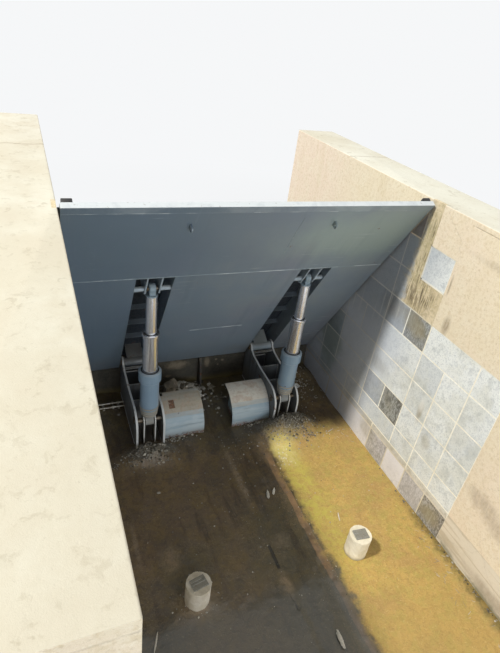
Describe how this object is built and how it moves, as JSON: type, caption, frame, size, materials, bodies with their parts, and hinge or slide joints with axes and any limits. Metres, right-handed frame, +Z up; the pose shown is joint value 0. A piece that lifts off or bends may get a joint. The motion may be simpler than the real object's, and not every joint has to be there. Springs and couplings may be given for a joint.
{
  "type": "bottom-hinged flap sluice gate",
  "caption": "Hinged steel flap gate leaning between stone-faced piers, worked by telescopic jacks from floor brackets, with quarter-round covers and round rests.",
  "frame": {"origin": "centre of the underside of the works, midway between the piers and midway along them", "axes": "+X to the right across the bay seen from downstream, +Y upstream along the piers, +Z up"},
  "size_m": [3.93, 5.2, 3.04],
  "materials": {
    "floor_concrete": "wet rough concrete with algae",
    "sill_concrete": "dark wet concrete, chipped",
    "rubble": "broken concrete",
    "pier_render": "pale cement render, weathered",
    "facing_stone": "sawn grey slabs with pale joints",
    "bracket_paint": "worn grey-blue paint, dirty",
    "ear_steel": "dirty grey",
    "pin_steel": "greased steel, light rust",
    "cover_paint": "pale grey-blue paint, stained, rusty at the foot",
    "rest_concrete": "concrete, algae at the foot",
    "pad_steel": "grey steel plate",
    "post_steel": "dark, rusty",
    "pipe_steel": "thin steel tube",
    "leaf_paint": "grey-blue paint, satin",
    "leaf_back_paint": "grey-blue paint, water-stained",
    "band_paint": "pale grey, sun-bleached",
    "rib_paint": "grey-blue paint, dusty",
    "tube_paint": "lighter grey-blue paint",
    "seal_rubber": "black, matt",
    "jack_paint": "grey-blue paint, satin",
    "plated_rod": "hard chrome"
  },
  "bodies": {
    "works": {"apron": "floor_concrete", "sill": "sill_concrete", "sill_rubble": "rubble", "left_pier": "pier_render", "right_pier": "pier_render", "left_facing": "facing_stone", "right_facing": "facing_stone", "left_bracket": "bracket_paint", "right_bracket": "bracket_paint", "left_foot_ears": "ear_steel", "right_foot_ears": "ear_steel", "left_hinge_pin": "pin_steel", "right_hinge_pin": "pin_steel", "left_foot_pin": "pin_steel", "right_foot_pin": "pin_steel", "left_cover": "cover_paint", "right_cover": "cover_paint", "left_stub": "rest_concrete", "right_stub": "rest_concrete", "left_pad": "pad_steel", "right_pad": "pad_steel", "centre_post": "post_steel", "feed_pipes": "pipe_steel"},
    "leaf": {"leaf_face": "leaf_paint", "leaf_back": "leaf_back_paint", "leaf_top_band": "band_paint", "leaf_bottom_beam": "rib_paint", "leaf_ribs": "rib_paint", "leaf_ends": "leaf_paint", "leaf_slot_sides": "leaf_paint", "left_hinge_tube": "tube_paint", "right_hinge_tube": "tube_paint", "left_head_ears": "tube_paint", "right_head_ears": "tube_paint", "lifting_eyes": "leaf_paint", "side_seals": "seal_rubber", "bottom_seal": "seal_rubber"},
    "left_jack_barrel": {"left_barrel": "jack_paint"},
    "left_jack_stage": {"left_stage": "plated_rod"},
    "left_jack_rod": {"left_rod": "plated_rod", "left_head_pin": "pin_steel"},
    "right_jack_barrel": {"right_barrel": "jack_paint"},
    "right_jack_stage": {"right_stage": "plated_rod"},
    "right_jack_rod": {"right_rod": "plated_rod", "right_head_pin": "pin_steel"}
  },
  "joints": [
    {"name": "leaf_hinge", "type": "hinge", "parent": "works", "child": "leaf", "pos_m": [0, 1.3, 0.8], "axis": [1, 0, 0], "range_deg": [0, 64.8]},
    {"name": "left_jack_pivot", "type": "hinge", "parent": "works", "child": "left_jack_barrel", "pos_m": [-0.75, 0.57, 0.6], "axis": [1, 0, 0], "range_deg": [0, 83.2]},
    {"name": "left_first_stage", "type": "slide", "parent": "left_jack_barrel", "child": "left_jack_stage", "axis": [0, -0.0065, -1], "range_m": [0, 0.3697]},
    {"name": "left_second_stage", "type": "slide", "parent": "left_jack_stage", "child": "left_jack_rod", "axis": [0, -0.0065, -1], "range_m": [0, 0.3697]},
    {"name": "right_jack_pivot", "type": "hinge", "parent": "works", "child": "right_jack_barrel", "pos_m": [0.75, 0.57, 0.6], "axis": [1, 0, 0], "range_deg": [0, 83.2]},
    {"name": "right_first_stage", "type": "slide", "parent": "right_jack_barrel", "child": "right_jack_stage", "axis": [0, -0.0065, -1], "range_m": [0, 0.3697]},
    {"name": "right_second_stage", "type": "slide", "parent": "right_jack_stage", "child": "right_jack_rod", "axis": [0, -0.0065, -1], "range_m": [0, 0.3697]}
  ],
  "couplings": [
    {"joint": "left_jack_pivot", "follows": "leaf_hinge", "ratio": 1.2824},
    {"joint": "left_first_stage", "follows": "leaf_hinge", "m_per_rad": 0.32686},
    {"joint": "left_second_stage", "follows": "leaf_hinge", "m_per_rad": 0.32686},
    {"joint": "right_jack_pivot", "follows": "leaf_hinge", "ratio": 1.2824},
    {"joint": "right_first_stage", "follows": "leaf_hinge", "m_per_rad": 0.32686},
    {"joint": "right_second_stage", "follows": "leaf_hinge", "m_per_rad": 0.32686}
  ]
}
